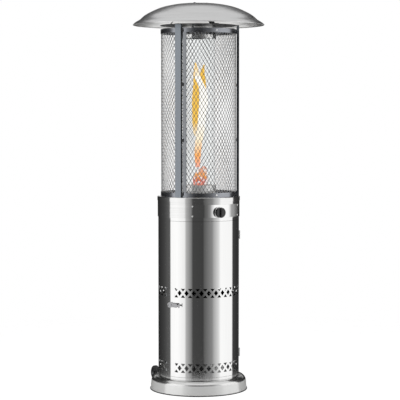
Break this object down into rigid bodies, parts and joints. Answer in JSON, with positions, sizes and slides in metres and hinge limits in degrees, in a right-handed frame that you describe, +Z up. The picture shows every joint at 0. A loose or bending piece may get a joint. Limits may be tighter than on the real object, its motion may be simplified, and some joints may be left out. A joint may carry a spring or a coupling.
{
  "type": "patio heater",
  "caption": "Free-standing gas patio heater: glass flame tube in a mesh guard under a domed hat, on a round bottle housing with a hinged door",
  "frame": {"origin": "on the floor, on the centre line of the round base", "axes": "+Z up; the front with the gas knob faces -Y; the wheels are at +Y; +X to the right seen from the front"},
  "size_m": [0.61, 0.61, 1.8013],
  "materials": {
    "polished_steel": "mirror polished stainless steel",
    "brushed_steel": "brushed stainless steel",
    "galvanised_steel": "dull zinc-coated steel",
    "guard_steel": "expanded stainless sheet, dulled by heat",
    "dark_steel": "black heat-proof paint",
    "cast_ballast": "rough cast",
    "brass": "turned brass",
    "glass": "clear heat-proof glass",
    "gasket": "pale heat-proof silicone",
    "black_rubber": "matt black rubber",
    "black_plastic": "fine-grained black plastic",
    "white_ceramic": "glazed white ceramic",
    "lead_cover": "dull red silicone"
  },
  "bodies": {
    "frame": {"base_shell": "brushed_steel", "base_edge_trim": "black_rubber", "base_floor_plate": "galvanised_steel", "ballast_ring": "cast_ballast", "wheel_bracket": "dark_steel", "wheel_axle": "galvanised_steel", "axle_caps": "black_plastic", "base_bolts": "galvanised_steel", "housing_feet": "galvanised_steel", "housing_shell": "polished_steel", "door_jamb_strip": "galvanised_steel", "hinge_frame_leaves": "galvanised_steel", "hinge_pins": "galvanised_steel", "control_drum": "brushed_steel", "control_panel": "polished_steel", "panel_screws": "galvanised_steel", "knob_bezel": "polished_steel", "plunger_spring": "galvanised_steel", "valve_body": "brass", "valve_bracket": "galvanised_steel", "igniter_module": "black_plastic", "tilt_switch": "black_plastic", "gas_inlet_fitting": "brass", "gas_pipe": "brass", "pipe_nuts": "brass", "gas_injector": "brass", "burner_tube": "galvanised_steel", "burner_head": "galvanised_steel", "igniter_electrode": "white_ceramic", "flame_sensor": "white_ceramic", "probe_leads": "lead_cover", "top_deck": "brushed_steel", "lower_glass_cup": "polished_steel", "glass_tube": "glass", "glass_gaskets": "gasket", "upper_glass_collar": "polished_steel", "guard_mesh": "guard_steel", "guard_bands": "polished_steel", "guard_seam_strip": "brushed_steel", "front_left_post": "brushed_steel", "front_right_post": "brushed_steel", "rear_post": "brushed_steel", "guard_clips": "dark_steel", "top_ring_plate": "dark_steel", "frame_screws": "galvanised_steel", "hat_spider": "dark_steel", "hat_shell": "brushed_steel", "hat_bolts": "galvanised_steel", "hat_nuts": "galvanised_steel"},
    "door": {"door_shell": "polished_steel", "hinge_door_leaves": "galvanised_steel", "latch_rosette": "brushed_steel"},
    "latch": {"latch_handle": "brushed_steel", "latch_spindle": "galvanised_steel", "latch_cam": "galvanised_steel"},
    "plunger": {"plunger_washer": "galvanised_steel"},
    "knob": {"gas_knob": "black_plastic", "knob_spindle": "galvanised_steel"},
    "left_wheel": {"left_wheel": "black_plastic"},
    "right_wheel": {"right_wheel": "black_plastic"}
  },
  "joints": [
    {"name": "door_hinge", "type": "hinge", "parent": "frame", "child": "door", "pos_m": [0.16829, -0.08948, 0.17], "axis": [0, 0, 1], "range_deg": [0, 110]},
    {"name": "latch_turn", "type": "hinge", "parent": "door", "child": "latch", "pos_m": [-0.18121, -0.05713, 0.4115], "axis": [-0.9537, -0.3007, 0], "range_deg": [0, 90]},
    {"name": "knob_push", "type": "slide", "parent": "frame", "child": "plunger", "axis": [0, 1, 0], "range_m": [0, 0.004], "stiffness_N_per_m": 1500, "deforming": ["plunger_spring"]},
    {"name": "knob_turn", "type": "hinge", "parent": "plunger", "child": "knob", "pos_m": [0, -0.2, 0.838], "axis": [0, 1, 0], "range_deg": [0, 220]},
    {"name": "left_wheel_spin", "type": "hinge", "parent": "frame", "child": "left_wheel", "pos_m": [-0.095, 0.25, 0.042], "axis": [1, 0, 0], "continuous": true},
    {"name": "right_wheel_spin", "type": "hinge", "parent": "frame", "child": "right_wheel", "pos_m": [0.095, 0.25, 0.042], "axis": [1, 0, 0], "continuous": true}
  ]
}
